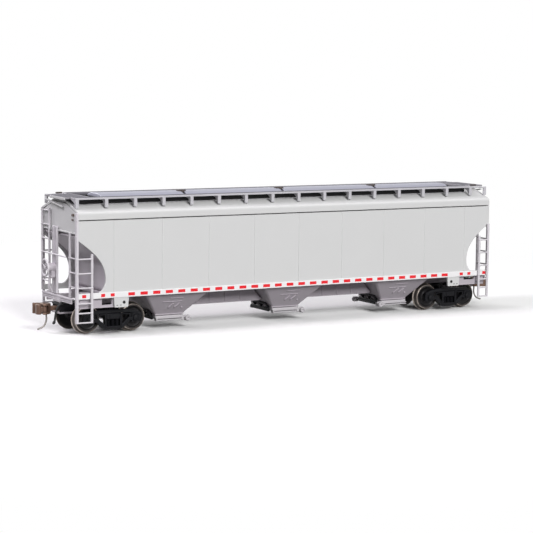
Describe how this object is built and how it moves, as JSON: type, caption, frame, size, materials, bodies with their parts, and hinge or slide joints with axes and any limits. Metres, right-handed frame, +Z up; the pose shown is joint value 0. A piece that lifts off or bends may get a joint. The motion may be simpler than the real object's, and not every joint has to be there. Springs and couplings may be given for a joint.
{
  "type": "model hopper car",
  "caption": "Model covered hopper railway car with a grey body, tapered hopper bays, roof walks, ladders, swivelling trucks, rolling wheelsets and swinging knuckle couplers.",
  "frame": {"origin": "middle of the car, at the bottom of the wheel flanges", "axes": "+X along the car towards the plain end, -X is the brake end, +Z up"},
  "size_m": [0.2188, 0.0384, 0.0556],
  "materials": {
    "body_grey": "satin light grey paint",
    "underframe_grey": "satin grey paint in shade",
    "roof_silver": "satin silver paint",
    "truck_black": "matt black moulding",
    "hose_black": "matt black moulding",
    "coupler_brown": "satin rust brown",
    "wheel_metal": "blackened metal with bright treads",
    "steel": "plain steel"
  },
  "bodies": {
    "car_body": {"air_hose_a": "hose_black", "air_hose_b": "hose_black", "ballast_weight": "steel", "brake_post": "body_grey", "brake_wheel": "body_grey", "crosswalk_a": "roof_silver", "crosswalk_b": "roof_silver", "draft_box_a": "underframe_grey", "draft_box_b": "underframe_grey", "end_platform_a": "body_grey", "end_platform_b": "body_grey", "end_sheet_a": "body_grey", "end_sheet_b": "body_grey", "floor": "underframe_grey", "hatch_cover_1": "roof_silver", "hatch_cover_2": "roof_silver", "hatch_cover_3": "roof_silver", "hatch_cover_4": "roof_silver", "hopper_bay_1": "underframe_grey", "hopper_bay_2": "underframe_grey", "hopper_bay_3": "underframe_grey", "king_pin_a": "steel", "king_pin_b": "steel", "narrow_end_ladder_a": "body_grey", "narrow_end_ladder_b": "body_grey", "outlet_gate_1": "underframe_grey", "outlet_gate_2": "underframe_grey", "outlet_gate_3": "underframe_grey", "roof": "body_grey", "running_board_left": "roof_silver", "running_board_right": "roof_silver", "side_ladder_left_a": "body_grey", "side_ladder_left_b": "body_grey", "side_ladder_right_a": "body_grey", "side_ladder_right_b": "body_grey", "side_sheet_left": "body_grey", "side_sheet_right": "body_grey", "slope_sheet_a": "underframe_grey", "slope_sheet_b": "underframe_grey", "stub_sill_a": "underframe_grey", "stub_sill_b": "underframe_grey", "wide_end_ladder_a": "body_grey", "wide_end_ladder_b": "body_grey"},
    "truck_b": {"truck_bolster_b": "truck_black", "side_frame_b_right": "truck_black", "side_frame_b_left": "truck_black"},
    "wheels_b_outer": {"wheelset_b_outer": "wheel_metal"},
    "wheels_b_inner": {"wheelset_b_inner": "wheel_metal"},
    "coupler_b": {"coupler_head_b": "coupler_brown", "trip_pin_b": "coupler_brown"},
    "knuckle_b": {"knuckle_b": "coupler_brown"},
    "truck_a": {"truck_bolster_a": "truck_black", "side_frame_a_right": "truck_black", "side_frame_a_left": "truck_black"},
    "wheels_a_outer": {"wheelset_a_outer": "wheel_metal"},
    "wheels_a_inner": {"wheelset_a_inner": "wheel_metal"},
    "coupler_a": {"coupler_head_a": "coupler_brown", "trip_pin_a": "coupler_brown"},
    "knuckle_a": {"knuckle_a": "coupler_brown"}
  },
  "joints": [
    {"name": "truck_b_swivel", "type": "hinge", "parent": "car_body", "child": "truck_b", "pos_m": [-0.0814, 0, 0.0103], "axis": [0, 0, 1], "range_deg": [-10, 10]},
    {"name": "wheels_b_outer_roll", "type": "hinge", "parent": "truck_b", "child": "wheels_b_outer", "pos_m": [-0.0913, 0, 0.00595], "axis": [0, 1, 0], "continuous": true},
    {"name": "wheels_b_inner_roll", "type": "hinge", "parent": "truck_b", "child": "wheels_b_inner", "pos_m": [-0.0715, 0, 0.00595], "axis": [0, 1, 0], "continuous": true},
    {"name": "coupler_b_swing", "type": "hinge", "parent": "car_body", "child": "coupler_b", "pos_m": [-0.093, 0, 0.01], "axis": [0, 0, 1], "range_deg": [-12, 12], "stiffness_Nm_per_rad": 0.003},
    {"name": "knuckle_b_open", "type": "hinge", "parent": "coupler_b", "child": "knuckle_b", "pos_m": [-0.1061, -0.00184, 0.01], "axis": [0, 0, 1], "range_deg": [0, 35], "stiffness_Nm_per_rad": 0.0001},
    {"name": "truck_a_swivel", "type": "hinge", "parent": "car_body", "child": "truck_a", "pos_m": [0.0814, 0, 0.0103], "axis": [0, 0, 1], "range_deg": [-10, 10]},
    {"name": "wheels_a_outer_roll", "type": "hinge", "parent": "truck_a", "child": "wheels_a_outer", "pos_m": [0.0913, 0, 0.00595], "axis": [0, 1, 0], "continuous": true},
    {"name": "wheels_a_inner_roll", "type": "hinge", "parent": "truck_a", "child": "wheels_a_inner", "pos_m": [0.0715, 0, 0.00595], "axis": [0, 1, 0], "continuous": true},
    {"name": "coupler_a_swing", "type": "hinge", "parent": "car_body", "child": "coupler_a", "pos_m": [0.093, 0, 0.01], "axis": [0, 0, 1], "range_deg": [-12, 12], "stiffness_Nm_per_rad": 0.003},
    {"name": "knuckle_a_open", "type": "hinge", "parent": "coupler_a", "child": "knuckle_a", "pos_m": [0.1061, 0.00184, 0.01], "axis": [0, 0, 1], "range_deg": [0, 35], "stiffness_Nm_per_rad": 0.0001}
  ]
}
